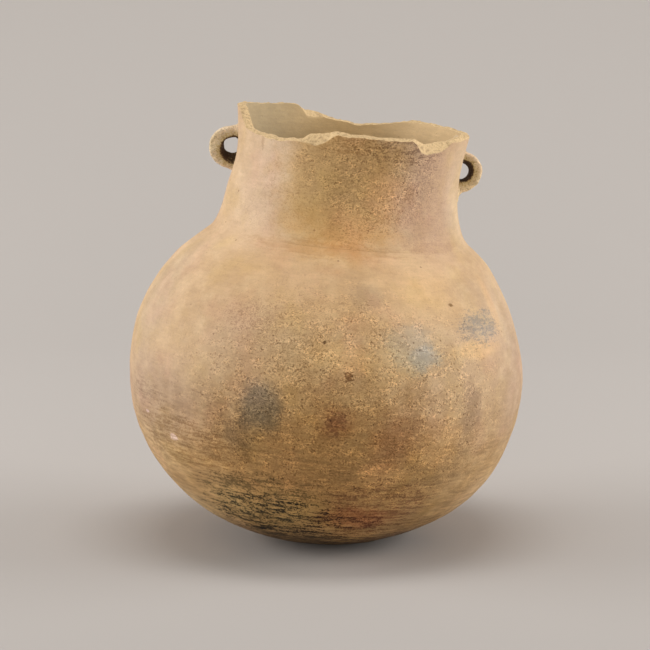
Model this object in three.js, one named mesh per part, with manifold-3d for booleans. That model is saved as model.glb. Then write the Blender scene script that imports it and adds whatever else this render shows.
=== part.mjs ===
// A hand-built earthenware olla: a round-bottomed cooking and water jar with two small lug handles.
// It is put together as its potter did. A bowl is pressed over a form, and broad coils of clay are joined
// on top of it with bevelled edges: two for the belly, two for the shoulder, one for the neck and one for
// the collar. Two pierced ears are luted on the collar. The jar stands a little askew on a spot worn flat,
// and its lip has broken away unevenly.
//
// Millimetres, +Z up. The origin is the centre of the worn spot, +X is towards the right-hand lug and
// -Y is the front. Inside the jar group, heights are measured along the jar's own leaning axis, from the
// plane of the belly.
import * as THREE from 'three';
import { mergeVertices } from 'three/addons/utils/BufferGeometryUtils.js';
import Module from 'manifold-3d';

const wasm = await Module();
wasm.setup();

// Body
const BELLY_RADIUS = 120;      // outside, at the widest
const BOWL_DEPTH = 107;        // belly plane to the underside, before wear
const BOWL_FULLNESS = 2.15;    // 2 is an ellipse, more is squarer
const SHOULDER_RISE = 106;     // height of the quarter ellipse that the shoulder follows
const WEAR_DEPTH = 2.5;        // how much the resting spot has lost

// Neck and collar
const ROOT_RADIUS = 79.5;      // outside, where the shoulder turns up into the neck
const ROOT_TURN = 8;           // length of the turn at the root
const THROAT_RADIUS = 67.6;    // outside, at the narrowest
const THROAT_RISE = 46;        // root to throat
const RIM_RADIUS = 74;         // outside, at the whole rim, before it broke
const RIM_RISE = 40;           // throat to the whole rim

// Clay
const BASE_WALL = 8;           // under the middle of the bowl
const BODY_WALL = 6;           // from the bowl's edge to the neck
const RIM_WALL = 5.2;
const SLIP = 0.3;              // line of slip between two joined pieces of clay
const LAP = 4;                 // how much higher a joint is outside than inside

// Joints between the coils, as heights from the belly plane
const BOWL_JOINT = -62;
const LOWER_BELLY_JOINT = -24;
const BELLY_JOINT = 14;
const SHOULDER_JOINT = 48;
const COLLAR_RISE = 24;        // from the root to the collar's joint

// How far the jar is off true
const LEAN = 5.1;              // degrees that the axis leans towards +X
const NECK_DRIFT = 0.05;       // how far the neck drifts towards +X for each millimetre that it rises

// Lugs: round ears luted on the collar, and pierced with a tapered stick. The ear's middle lies above the
// throat, span is between its feet, and out is how far the ear's and the hole's middle stand off the
// collar. The hole's two diameters are named by the way round the jar, seen from above. In degrees, tilt is
// how far the stick slopes down on its way anticlockwise, and turn is how far it points away from the jar.
const LUG_WIDTH = 14;          // along the hole
const LUG_ROUNDING = 3.6;      // of the ear's edges
const LUG_SINK = 4;            // how far an ear is carried into the collar before it is trimmed to it
const EAR_TURN = 75;           // degrees either side of straight out, that the ear is round for
const LEFT_LUG = {
  azimuth: 176,
  above: 2.4,
  ear: { radius: 12.3, out: 4.4, span: 29 },
  hole: { anticlockwise: 15.8, clockwise: 9.6, out: 3, tilt: 8, turn: -12 },
};
const RIGHT_LUG = {
  azimuth: 9,
  above: -0.4,
  ear: { radius: 12, out: 2, span: 39 },
  hole: { anticlockwise: 10, clockwise: 13, out: 2.2, tilt: 5, turn: 6 },
};

// The broken lip, followed round the jar: how high the wall's two edges still stand above the throat
const LIP_EDGE = [
  { azimuth: 0, outside: 21.8, inside: 22 },
  { azimuth: 20, outside: 22.6, inside: 22 },
  { azimuth: 45, outside: 23.4, inside: 22.4 },
  { azimuth: 57, outside: 24.2, inside: 22.4 },
  { azimuth: 66, outside: 21.7, inside: 20.2 },
  { azimuth: 75, outside: 19.6, inside: 18.2 },
  { azimuth: 88, outside: 18.4, inside: 17 },
  { azimuth: 98, outside: 19.9, inside: 18.4 },
  { azimuth: 107, outside: 23.3, inside: 20 },
  { azimuth: 116, outside: 25, inside: 19.7 },
  { azimuth: 119, outside: 26.5, inside: 24 },
  { azimuth: 122, outside: 28, inside: 27 },
  { azimuth: 132, outside: 27.4, inside: 27.2 },
  { azimuth: 150, outside: 27.1, inside: 26.9 },
  { azimuth: 178, outside: 29.2, inside: 28.4 },
  { azimuth: 192, outside: 28.6, inside: 27.2 },
  { azimuth: 202, outside: 17.4, inside: 16.4 },
  { azimuth: 212, outside: 15.2, inside: 15.2 },
  { azimuth: 223, outside: 13.6, inside: 15.2 },
  { azimuth: 227, outside: 13.9, inside: 14.3 },
  { azimuth: 232, outside: 13.4, inside: 14.2 },
  { azimuth: 237, outside: 14.2, inside: 15 },
  { azimuth: 240, outside: 14.4, inside: 15 },
  { azimuth: 243, outside: 14.4, inside: 15.9 },
  { azimuth: 245, outside: 14.6, inside: 17.9 },
  { azimuth: 248, outside: 14, inside: 18.7 },
  { azimuth: 251, outside: 12.6, inside: 19 },
  { azimuth: 254, outside: 14.2, inside: 19.7 },
  { azimuth: 257, outside: 16, inside: 20.4 },
  { azimuth: 259, outside: 18, inside: 21.5 },
  { azimuth: 262, outside: 21, inside: 21.8 },
  { azimuth: 268, outside: 20.4, inside: 20.8 },
  { azimuth: 282, outside: 20.2, inside: 20.5 },
  { azimuth: 299, outside: 20.2, inside: 20.6 },
  { azimuth: 302, outside: 18, inside: 20.6 },
  { azimuth: 305, outside: 14.4, inside: 19.8 },
  { azimuth: 309, outside: 12.3, inside: 18 },
  { azimuth: 315, outside: 13.2, inside: 18.3 },
  { azimuth: 319, outside: 14.6, inside: 19.1 },
  { azimuth: 323, outside: 17, inside: 19.6 },
  { azimuth: 326, outside: 19.6, inside: 19.9 },
  { azimuth: 333, outside: 20.2, inside: 20.6 },
  { azimuth: 341, outside: 20.8, inside: 21.4 },
];

// Swells and flats left by hands and paddle: push outwards at an azimuth and a height, with its spread
const SWELLS = [
  { azimuth: 0, height: 72, push: 1.9, degrees: 50, rise: 11 },
  { azimuth: 0, height: 30, push: -1.4, degrees: 45, rise: 17 },
  { azimuth: 0, height: -98, push: -2.2, degrees: 45, rise: 9 },
  { azimuth: 180, height: 108, push: 2.2, degrees: 40, rise: 14 },
  { azimuth: 180, height: 78, push: -2, degrees: 50, rise: 10 },
  { azimuth: 190, height: -97, push: 1.6, degrees: 40, rise: 10 },
  { azimuth: 330, height: -60, push: 1, degrees: 35, rise: 22 },
  { azimuth: 120, height: 10, push: -1.4, degrees: 45, rise: 40 },
];

// Facets
const AROUND = 96;
const BOWL_RINGS = 7;
const WALL_RINGS = 3;
const NECK_RINGS = 4;
const COLLAR_RINGS = 4;
const CORE_RINGS = 16;
const EAR_POINTS = 9;
const EAR_BEVELS = 4;
const HOLE_SIDES = 20;

const radians = THREE.MathUtils.degToRad;
const clay = (color) => new THREE.MeshStandardMaterial({ color, roughness: 0.9, metalness: 0 });

// The outside of the jar in section, from the pole of the bowl to the rim: x is the radius, y the height.
class BowlCurve extends THREE.Curve {
  getPoint(t, target = new THREE.Vector2()) {
    const angle = (t * Math.PI) / 2;
    const power = 2 / BOWL_FULLNESS;
    return target.set(BELLY_RADIUS * Math.sin(angle) ** power, -BOWL_DEPTH * Math.cos(angle) ** power);
  }
}

function outsideSection() {
  const rootAngle = Math.acos(ROOT_RADIUS / BELLY_RADIUS);
  const root = new THREE.Vector2(ROOT_RADIUS, SHOULDER_RISE * Math.sin(rootAngle));
  const turn = new THREE.Vector2(-BELLY_RADIUS * Math.sin(rootAngle), SHOULDER_RISE * Math.cos(rootAngle));
  const throat = new THREE.Vector2(THROAT_RADIUS, root.y + THROAT_RISE);
  const rim = new THREE.Vector2(RIM_RADIUS, throat.y + RIM_RISE);
  const section = new THREE.CurvePath();
  section.add(new BowlCurve());
  section.add(new THREE.EllipseCurve(0, 0, BELLY_RADIUS, SHOULDER_RISE, 0, rootAngle));
  section.add(new THREE.CubicBezierCurve(
    root,
    root.clone().addScaledVector(turn.normalize(), ROOT_TURN),
    throat.clone().setY(throat.y - THROAT_RISE / 2),
    throat,
  ));
  section.add(new THREE.QuadraticBezierCurve(throat, throat.clone().setY(throat.y + RIM_RISE / 3), rim));
  return { section, rootHeight: root.y, throatHeight: throat.y, rimHeight: rim.y };
}

const { section, rootHeight, throatHeight, rimHeight } = outsideSection();

// Where along the section a height lies, from 0 at the pole to 1 at the rim. Heights only rise along it.
function alongAt(height) {
  let low = 0;
  let high = 1;
  for (let step = 0; step < 30; step += 1) {
    const middle = (low + high) / 2;
    if (section.getPoint(middle).y < height) low = middle;
    else high = middle;
  }
  return (low + high) / 2;
}

function wallAt(height) {
  if (height < BOWL_JOINT) {
    return THREE.MathUtils.mapLinear(height, -BOWL_DEPTH, BOWL_JOINT, BASE_WALL, BODY_WALL);
  }
  if (height < rootHeight) return BODY_WALL;
  return THREE.MathUtils.mapLinear(height, rootHeight, rimHeight, BODY_WALL, RIM_WALL);
}

const outsidePoint = (along) => section.getPoint(along);

function insidePoint(along) {
  const outside = section.getPoint(along);
  const wall = wallAt(outside.y);
  if (along <= 0) return new THREE.Vector2(0, outside.y + wall);
  const tangent = section.getTangent(along);
  return new THREE.Vector2(Math.max(outside.x - wall * tangent.y, 0), outside.y + wall * tangent.x);
}

// The two edges of a joint, for the clay below it (side -1) or above it (side 1), as places along the
// section. The joint lies LAP higher outside than inside, and half the line of slip comes off each side.
function bevelledEdge(height, side) {
  const edge = height + (side * SLIP) / 2;
  return { outside: alongAt(edge + LAP / 2), inside: alongAt(edge - LAP / 2) };
}

// The outline of a ring of clay between two edges. It closes on itself, or on the axis at the pole.
function ringOutline(bottom, top, rings) {
  const outline = [];
  for (let ring = 0; ring <= rings; ring += 1) {
    outline.push(outsidePoint(THREE.MathUtils.lerp(bottom.outside, top.outside, ring / rings)));
  }
  for (let ring = rings; ring >= 0; ring -= 1) {
    outline.push(insidePoint(THREE.MathUtils.lerp(bottom.inside, top.inside, ring / rings)));
  }
  if (bottom.outside > 0) outline.push(outline[0]);
  return outline;
}

// Degrees from one azimuth to another, the short way round.
function turnBetween(from, to) {
  return THREE.MathUtils.euclideanModulo(to - from + 180, 360) - 180;
}

function swellAt(azimuth, height) {
  return SWELLS.reduce((sum, swell) => {
    const across = turnBetween(swell.azimuth, azimuth) / swell.degrees;
    const up = (height - swell.height) / swell.rise;
    return sum + swell.push * Math.exp(-(across * across + up * up));
  }, 0);
}

// The broken lip's two edges at an azimuth, as places along the section
function lipEdge(azimuth) {
  const found = LIP_EDGE.findIndex((entry) => entry.azimuth > azimuth);
  const next = LIP_EDGE[Math.max(found, 0)];
  const last = LIP_EDGE.at(Math.max(found, 0) - 1);
  const gap = THREE.MathUtils.euclideanModulo(next.azimuth - last.azimuth, 360);
  const share = THREE.MathUtils.euclideanModulo(azimuth - last.azimuth, 360) / gap;
  return {
    outside: alongAt(throatHeight + THREE.MathUtils.lerp(last.outside, next.outside, share)),
    inside: alongAt(throatHeight + THREE.MathUtils.lerp(last.inside, next.inside, share)),
  };
}

// A point at a radius, an azimuth and a height, as the potter's hands left it.
function handBuilt(radius, azimuth, height, target = new THREE.Vector3()) {
  const reach = radius + swellAt(azimuth, height) * Math.min(1, radius / ROOT_RADIUS);
  const drift = Math.max(0, height - rootHeight) * NECK_DRIFT;
  return target.set(
    reach * Math.cos(radians(azimuth)) + drift,
    reach * Math.sin(radians(azimuth)),
    height,
  );
}

// A ring of clay turned from its outline, which may change round the jar
function turned(outlineAt) {
  const size = outlineAt(0).length;
  const geometry = new THREE.LatheGeometry(outlineAt(0), AROUND);
  const position = geometry.getAttribute('position');
  const moved = new THREE.Vector3();
  for (let column = 0; column <= AROUND; column += 1) {
    const azimuth = (column % AROUND) * (360 / AROUND);
    outlineAt(azimuth).forEach(({ x, y }, row) => {
      handBuilt(x, azimuth, y, moved);
      position.setXYZ(column * size + row, moved.x, moved.y, moved.z);
    });
  }
  return geometry;
}

function solidFrom(geometry) {
  const bare = geometry.clone();
  bare.deleteAttribute('normal');
  bare.deleteAttribute('uv');
  const merged = mergeVertices(bare, 1e-4);
  return new wasm.Manifold(new wasm.Mesh({
    numProp: 3,
    vertProperties: merged.getAttribute('position').array,
    triVerts: new Uint32Array(merged.index.array),
  }));
}

function geometryFrom(solid) {
  const { vertProperties, triVerts, numProp, numVert } = solid.getMesh();
  const points = new Float32Array(numVert * 3);
  for (let i = 0; i < numVert; i += 1) {
    points.set(vertProperties.subarray(i * numProp, i * numProp + 3), i * 3);
  }
  const geometry = new THREE.BufferGeometry();
  geometry.setAttribute('position', new THREE.BufferAttribute(points, 3));
  geometry.setIndex(new THREE.BufferAttribute(new Uint32Array(triVerts), 1));
  geometry.computeVertexNormals();
  return geometry;
}

// The jar as it stands: leaning, with the lowest point of the bowl WEAR_DEPTH under the ground.
function standing() {
  const lean = new THREE.Matrix4().makeRotationY(radians(LEAN));
  const lowest = new THREE.Vector3(0, 0, Infinity);
  const probe = new THREE.Vector3();
  for (let step = -200; step <= 200; step += 1) {
    const { x, y } = outsidePoint((Math.abs(step) / 200) * alongAt(BOWL_JOINT));
    handBuilt(x, step < 0 ? 180 : 0, y, probe).applyMatrix4(lean);
    if (probe.z < lowest.z) lowest.copy(probe);
  }
  return { x: -lowest.x, z: -lowest.z - WEAR_DEPTH };
}

const jar = new THREE.Group();
const foot = standing();
jar.rotation.y = radians(LEAN);
jar.position.set(foot.x, 0, foot.z);
jar.updateMatrixWorld(true);

// The pressed bowl, with the resting spot worn flat
function bowlGeometry() {
  const outline = ringOutline({ outside: 0, inside: 0 }, bevelledEdge(BOWL_JOINT, -1), BOWL_RINGS);
  const ground = new THREE.BoxGeometry(BELLY_RADIUS * 2, BELLY_RADIUS * 2, BOWL_DEPTH);
  ground.translate(0, 0, -BOWL_DEPTH / 2);
  ground.applyMatrix4(jar.matrixWorld.clone().invert());
  return geometryFrom(solidFrom(turned(() => outline)).subtract(solidFrom(ground)));
}

function wallGeometry(bottomJoint, topJoint, rings) {
  const outline = ringOutline(bevelledEdge(bottomJoint, 1), bevelledEdge(topJoint, -1), rings);
  return turned(() => outline);
}

function collarGeometry() {
  const bottom = bevelledEdge(rootHeight + COLLAR_RISE, 1);
  return turned((azimuth) => ringOutline(bottom, lipEdge(azimuth), COLLAR_RINGS));
}

// All that is inside the neck's outer face and the line of slip on it, to trim an ear to its seat
function neckCore() {
  const bottom = alongAt(rootHeight);
  const outline = [new THREE.Vector2(0, rootHeight)];
  for (let ring = 0; ring <= CORE_RINGS; ring += 1) {
    const { x, y } = outsidePoint(THREE.MathUtils.lerp(bottom, 1, ring / CORE_RINGS));
    outline.push(new THREE.Vector2(x + SLIP, y));
  }
  outline.push(new THREE.Vector2(0, rimHeight));
  return solidFrom(turned(() => outline));
}

// The flat middle of an ear in side view, inside its rounded edges: x is outwards from the collar's face
// and y is up. Its feet run out along the neck.
function earShape({ radius, out, span }) {
  const turn = radians(EAR_TURN);
  const flat = radius - LUG_ROUNDING;
  const foot = span / 2 - LUG_ROUNDING + LUG_SINK;
  const round = new THREE.EllipseCurve(out, 0, flat, flat, -turn, turn);
  const start = round.getPoint(0);
  const end = round.getPoint(1);
  const shoulder = end.y + end.x / Math.tan(turn);
  const shape = new THREE.Shape();
  shape.moveTo(-LUG_SINK, -foot);
  shape.quadraticCurveTo(0, -shoulder, start.x, start.y);
  shape.absarc(out, 0, flat, -turn, turn);
  shape.quadraticCurveTo(0, shoulder, -LUG_SINK, foot);
  return shape;
}

function lugGeometry({ azimuth, above, ear, hole }) {
  const body = new THREE.ExtrudeGeometry(earShape(ear), {
    depth: LUG_WIDTH - LUG_ROUNDING * 2,
    curveSegments: EAR_POINTS,
    bevelThickness: LUG_ROUNDING,
    bevelSize: LUG_ROUNDING,
    bevelSegments: EAR_BEVELS,
  });
  body.translate(0, 0, LUG_ROUNDING - LUG_WIDTH / 2);
  const taper = (hole.clockwise - hole.anticlockwise) / 2;
  const stick = new THREE.CylinderGeometry(
    hole.clockwise / 2 + taper / 2,
    hole.anticlockwise / 2 - taper / 2,
    LUG_WIDTH * 2,
    HOLE_SIDES,
  );
  stick.rotateX(Math.PI / 2 - radians(hole.tilt));
  stick.rotateY(-radians(hole.turn));
  stick.translate(hole.out, 0, 0);
  const outward = new THREE.Vector3(Math.cos(radians(azimuth)), Math.sin(radians(azimuth)), 0);
  const up = new THREE.Vector3(0, 0, 1);
  const seat = new THREE.Matrix4().makeBasis(outward, up, outward.clone().cross(up));
  const height = throatHeight + above;
  seat.setPosition(handBuilt(outsidePoint(alongAt(height)).x, azimuth, height));
  body.applyMatrix4(seat);
  stick.applyMatrix4(seat);
  return geometryFrom(solidFrom(body).subtract(solidFrom(stick)).subtract(neckCore()));
}

function addPiece(name, geometry, material) {
  const piece = new THREE.Mesh(geometry, material);
  piece.name = name;
  jar.add(piece);
}

addPiece('base_bowl', bowlGeometry(), clay(0x9c7a4c));
addPiece('lower_belly_wall', wallGeometry(BOWL_JOINT, LOWER_BELLY_JOINT, WALL_RINGS), clay(0xa68152));
addPiece('upper_belly_wall', wallGeometry(LOWER_BELLY_JOINT, BELLY_JOINT, WALL_RINGS), clay(0xb28d5d));
addPiece('lower_shoulder_wall', wallGeometry(BELLY_JOINT, SHOULDER_JOINT, WALL_RINGS), clay(0xc49f6f));
addPiece('upper_shoulder_wall', wallGeometry(SHOULDER_JOINT, rootHeight, WALL_RINGS), clay(0xcba678));
addPiece('neck_wall', wallGeometry(rootHeight, rootHeight + COLLAR_RISE, NECK_RINGS), clay(0xc39c6b));
addPiece('lip_collar', collarGeometry(), clay(0xbd9a68));
addPiece('left_lug', lugGeometry(LEFT_LUG), clay(0xc8a777));
addPiece('right_lug', lugGeometry(RIGHT_LUG), clay(0xd0ab78));

const olla = new THREE.Group();
olla.add(jar);

export default olla;
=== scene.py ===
import math

import bpy
import numpy as np
from mathutils import Matrix, Vector, noise


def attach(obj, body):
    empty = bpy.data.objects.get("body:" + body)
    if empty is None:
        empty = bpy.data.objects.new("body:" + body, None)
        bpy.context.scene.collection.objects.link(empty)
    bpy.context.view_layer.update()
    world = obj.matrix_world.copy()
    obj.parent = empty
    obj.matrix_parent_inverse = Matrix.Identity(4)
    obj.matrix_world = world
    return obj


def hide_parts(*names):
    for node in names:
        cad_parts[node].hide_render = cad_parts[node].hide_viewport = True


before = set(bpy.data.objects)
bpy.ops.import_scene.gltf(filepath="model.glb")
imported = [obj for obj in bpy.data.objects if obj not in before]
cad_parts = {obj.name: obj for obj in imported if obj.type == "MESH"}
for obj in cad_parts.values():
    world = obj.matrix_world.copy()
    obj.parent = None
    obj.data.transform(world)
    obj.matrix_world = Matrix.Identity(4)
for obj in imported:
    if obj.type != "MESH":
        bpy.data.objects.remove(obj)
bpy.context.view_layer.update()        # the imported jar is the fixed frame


# The worn bowl: the bottom of the jar, pressed over a form in coarse buff clay. Its underside is worn
# flat where the jar stands, and the hearth has left soot in the wiping marks on its lower left.
MM = 0.001
BELLY_RADIUS = 120 * MM
BOWL_DEPTH = 107 * MM
BOWL_FULLNESS = 2.15
SHOULDER_RISE = 106 * MM
WEAR_DEPTH = 2.5 * MM
ROOT_RADIUS = 79.5 * MM
ROOT_TURN = 8 * MM
THROAT_RADIUS = 67.6 * MM
THROAT_RISE = 46 * MM
RIM_RADIUS = 74 * MM
RIM_RISE = 40 * MM
BASE_WALL = 8 * MM
BODY_WALL = 6 * MM
RIM_WALL = 5.2 * MM
LAP = 4 * MM
BOWL_JOINT = -62 * MM
LEAN = math.radians(5.1)
NECK_DRIFT = 0.05
SECTION_STEPS = 1200
SPIN_STEPS = 60
CUTS_BETWEEN = 9
TOUCHING = 1e-6

# Swells and flats left by hands and paddle: azimuth, height, push, spread in degrees, spread in height
SWELLS = [
    (0, 72, 1.9, 50, 11),
    (0, 30, -1.4, 45, 17),
    (0, -98, -2.2, 45, 9),
    (180, 108, 2.2, 40, 14),
    (180, 78, -2, 50, 10),
    (190, -97, 1.6, 40, 10),
    (330, -60, 1, 35, 22),
    (120, 10, -1.4, 45, 40),
]

# Smaller dents and ridges that catch the light
DENTS = [
    (338, 50, -0.9, 6, 16),
    (347, 52, 0.5, 4, 26),
    (312, 62, -0.5, 8, 9),
    (262, 78, 0.5, 16, 5),
    (250, -30, -0.6, 12, 12),
    (295, -55, -0.6, 14, 9),
    (222, 20, -0.5, 10, 18),
    (285, 25, 0.5, 14, 10),
    (236, 96, -0.6, 9, 14),
    (318, 104, -0.5, 9, 15),
]


def bezier(points, t):
    """The Bezier curve of a few points, at each t from 0 at the first of them to 1 at the last."""
    order = len(points) - 1
    curve = 0
    for i, point in enumerate(points):
        curve = curve + math.comb(order, i) * (1 - t) ** (order - i) * t ** i * point
    return curve


def jar_section():
    """The outside of the jar in section, from the bowl's pole to the rim: radius, height and tangent."""
    power = 2 / BOWL_FULLNESS
    turn = np.linspace(0, np.pi / 2, SECTION_STEPS)
    bowl = np.stack([BELLY_RADIUS * np.sin(turn) ** power, -BOWL_DEPTH * np.cos(turn) ** power], 1)
    root_angle = math.acos(ROOT_RADIUS / BELLY_RADIUS)
    turn = np.linspace(0, root_angle, SECTION_STEPS // 2)[1:]
    shoulder = np.stack([BELLY_RADIUS * np.cos(turn), SHOULDER_RISE * np.sin(turn)], 1)
    root = shoulder[-1]
    lead = np.array([-BELLY_RADIUS * math.sin(root_angle), SHOULDER_RISE * math.cos(root_angle)])
    lead = lead / np.linalg.norm(lead) * ROOT_TURN
    throat = np.array([THROAT_RADIUS, root[1] + THROAT_RISE])
    rim = throat + [RIM_RADIUS - THROAT_RADIUS, RIM_RISE]
    t = np.linspace(0, 1, SECTION_STEPS // 3)[1:, None]
    neck = bezier([root, root + lead, throat - [0, THROAT_RISE / 2], throat], t)
    flare = bezier([throat, throat + [0, RIM_RISE / 3], rim], t)
    points = np.concatenate([bowl, shoulder, neck, flare])
    along = np.concatenate([[0], np.cumsum(np.linalg.norm(np.diff(points, axis=0), axis=1))])
    tangent = np.gradient(points, along, axis=0)
    tangent /= np.linalg.norm(tangent, axis=1)[:, None]
    return points, along, tangent, root[1], throat[1], rim[1]


section, section_along, section_tangent, ROOT_HEIGHT, THROAT_HEIGHT, RIM_HEIGHT = jar_section()


def along_at(height):
    """How far along the section, from the pole, the outside reaches a height."""
    return np.interp(height, section[:, 1], section_along)


def wall_at(height):
    """How thick the wall is at a height: thickest at the pole, thinnest at the rim."""
    bowl = np.interp(height, [-BOWL_DEPTH, BOWL_JOINT], [BASE_WALL, BODY_WALL])
    body = np.interp(height, [ROOT_HEIGHT, RIM_HEIGHT], [BODY_WALL, RIM_WALL])
    return np.where(height < BOWL_JOINT, bowl, body)


def outside_at(along):
    """The radius and the height of the outside at places along the section."""
    radius = np.interp(along, section_along, section[:, 0])
    height = np.interp(along, section_along, section[:, 1])
    return radius, height


def tangent_at(along):
    """Which way the outside runs at places along the section: its parts outwards and upwards."""
    rise = np.interp(along, section_along, section_tangent[:, 1])
    run = np.interp(along, section_along, section_tangent[:, 0])
    return run, rise


def push_of(marks, azimuth, height):
    """How far the swells or dents push the wall out, at azimuths in degrees and heights in metres."""
    total = np.zeros_like(azimuth)
    for middle, level, push, degrees, rise in marks:
        across = ((azimuth - middle + 180) % 360 - 180) / degrees
        up = (height / MM - level) / rise
        total += push * MM * np.exp(-(across ** 2 + up ** 2))
    return total


BROAD_LUMP = 0.75 * MM
SMALL_LUMP = 0.24 * MM


def hand_wobble(points):
    """Small lumps of the hand-smoothed wall: a soft, uneven push at each point of the jar."""
    wobble = np.empty(len(points))
    for i, (x, y, z) in enumerate(points.tolist()):
        broad = noise.noise(Vector((x * 24, y * 24, z * 30)))
        small = noise.noise(Vector((x * 75 + 7, y * 75, z * 110)))
        wobble[i] = BROAD_LUMP * broad + SMALL_LUMP * small
    return wobble


def leaning(points):
    """Turns points by the jar's lean, about the middle of the belly."""
    return points @ np.array(Matrix.Rotation(LEAN, 3, "Y")).T


def standing(points):
    """Moves points from the jar's own frame to the row frame: leaning, on its worn spot."""
    return leaning(points) + foot


def hand_built(radius, azimuth, height):
    """A point of the jar in its own frame, swollen and drifted as the solids are."""
    reach = radius + push_of(SWELLS, azimuth, height) * np.minimum(1, radius / ROOT_RADIUS)
    drift = np.maximum(0, height - ROOT_HEIGHT) * NECK_DRIFT
    angle = np.radians(azimuth)
    return np.stack([reach * np.cos(angle) + drift, reach * np.sin(angle), height], 1)


def lowest_point():
    """Where the leaning bowl would touch the ground if it weren't worn, on the plane of the lean."""
    along = np.linspace(0, along_at(BOWL_JOINT), SECTION_STEPS // 3)
    radius, height = outside_at(along)
    sides = [hand_built(radius, np.full_like(radius, side), height) for side in (0.0, 180.0)]
    turned = leaning(np.concatenate(sides))
    return turned[turned[:, 2].argmin()]


low = lowest_point()
foot = np.array([-low[0], 0, -low[2] - WEAR_DEPTH])


def vertex_places(mesh):
    """Where every vertex is, one line each."""
    places = np.empty(len(mesh.vertices) * 3)
    mesh.vertices.foreach_get("co", places)
    return places.reshape(-1, 3)


def vertex_rows(mesh):
    """The row of the outline that each vertex was spun from."""
    row = np.empty(len(mesh.vertices), dtype=np.float32)
    mesh.attributes["row"].data.foreach_get("value", row)
    return row


def mark_vertices(mesh, name, values):
    """Gives every vertex a value that the spinning or the clay's material reads."""
    mark = mesh.attributes.new(name, "FLOAT", "POINT")
    mark.data.foreach_set("value", values.astype(np.float32))


def spun_wall(name, rows, place):
    """A wall of clay spun from its outline about the jar's axis, then pushed to its place row by row.
    Each row is (section place, how far through the wall from 0 outside to 1 inside, how broken)."""
    bpy.ops.object.select_all(action="DESELECT")
    bpy.ops.mesh.primitive_circle_add(vertices=len(rows), radius=BELLY_RADIUS, fill_type="NOTHING")
    wall = bpy.context.object
    wall.name = name
    wall.data.name = name
    along = np.array([row[0] for row in rows])
    depth = np.array([row[1] for row in rows])
    radius, height = outside_at(along)
    run, rise = tangent_at(along)
    thick = wall_at(height) * depth
    outline = np.stack([np.maximum(radius - thick * rise, 0), np.zeros(len(rows)), height + thick * run], 1)
    wall.data.vertices.foreach_set("co", outline.ravel())
    mark_vertices(wall.data, "row", np.arange(len(rows)))
    on_axis = [i for i in range(len(rows)) if outline[i, 0] < TOUCHING]
    # The outline of the bowl closes along the axis, where there is no wall
    bpy.ops.object.mode_set(mode="EDIT")
    bpy.ops.mesh.select_mode(type="EDGE")
    bpy.ops.mesh.select_all(action="DESELECT")
    bpy.ops.object.mode_set(mode="OBJECT")
    for edge in wall.data.edges:
        edge.select = len(on_axis) == 2 and set(edge.vertices) == set(on_axis)
    bpy.ops.object.mode_set(mode="EDIT")
    bpy.ops.mesh.delete(type="EDGE")
    bpy.ops.mesh.select_all(action="SELECT")
    bpy.ops.mesh.spin(steps=SPIN_STEPS, angle=2 * math.pi, center=(0, 0, 0), axis=(0, 0, 1))
    bpy.ops.mesh.select_all(action="SELECT")
    bpy.ops.mesh.remove_doubles(threshold=TOUCHING)
    bpy.ops.mesh.normals_make_consistent(inside=False)
    bpy.ops.mesh.select_all(action="DESELECT")
    bpy.ops.object.mode_set(mode="OBJECT")
    # The edges that run round the jar are cut again, which gives more columns than the spin
    row = vertex_rows(wall.data)
    ends = np.empty(len(wall.data.edges) * 2, dtype=np.int32)
    wall.data.edges.foreach_get("vertices", ends)
    ends = ends.reshape(-1, 2)
    wall.data.edges.foreach_set("select", np.abs(row[ends[:, 0]] - row[ends[:, 1]]) < 0.5)
    bpy.ops.object.mode_set(mode="EDIT")
    bpy.ops.mesh.subdivide(number_cuts=CUTS_BETWEEN)
    bpy.ops.object.mode_set(mode="OBJECT")
    shape_wall(wall, rows, place)
    bpy.ops.object.shade_smooth_by_angle(angle=math.radians(50))
    return wall


def shape_wall(wall, rows, place):
    """Sculpts a spun wall: each vertex goes to its row's place at its azimuth, with the potter's wobble."""
    mesh = wall.data
    spun = vertex_places(mesh)
    row = np.clip(np.rint(vertex_rows(mesh)).astype(int), 0, len(rows) - 1)
    azimuth = np.degrees(np.arctan2(spun[:, 1], spun[:, 0])) % 360
    along, depth, broken = place(row, azimuth, np.array(rows))
    radius, height = outside_at(along)
    run, rise = tangent_at(along)
    face = hand_built(radius, azimuth, height)
    push = push_of(DENTS, azimuth, height) + hand_wobble(face)
    thick = wall_at(height) * depth - push
    points = hand_built(np.maximum(radius - thick * rise, 0), azimuth, height + thick * run)
    points = standing(points)
    points[:, 2] = np.maximum(points[:, 2], 0)
    mesh.vertices.foreach_set("co", points.ravel())
    mesh.attributes.remove(mesh.attributes["row"])
    mark_vertices(mesh, "inside", depth)
    mark_vertices(mesh, "broken", broken)
    mesh.update()


def even_rows(bottom, top, depth, spacing):
    """Rows at an even spacing along one face of the wall, between two places on the section."""
    count = max(2, round(abs(top - bottom) / spacing) + 1)
    return [(along, depth, 0.0) for along in np.linspace(bottom, top, count)]


def coil_rows(bottom, top, outside=1.1 * MM, inside=3 * MM):
    """The outline of a coil between two joints that lie LAP higher outside than inside."""
    rows = even_rows(along_at(bottom + LAP / 2), along_at(top + LAP / 2), 0.0, outside)
    rows += even_rows(along_at(top - LAP / 2), along_at(bottom - LAP / 2), 1.0, inside)
    return rows


def as_spun(row, azimuth, rows):
    """Leaves every row where the outline has it."""
    return rows[row, 0], rows[row, 1], rows[row, 2]


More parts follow.
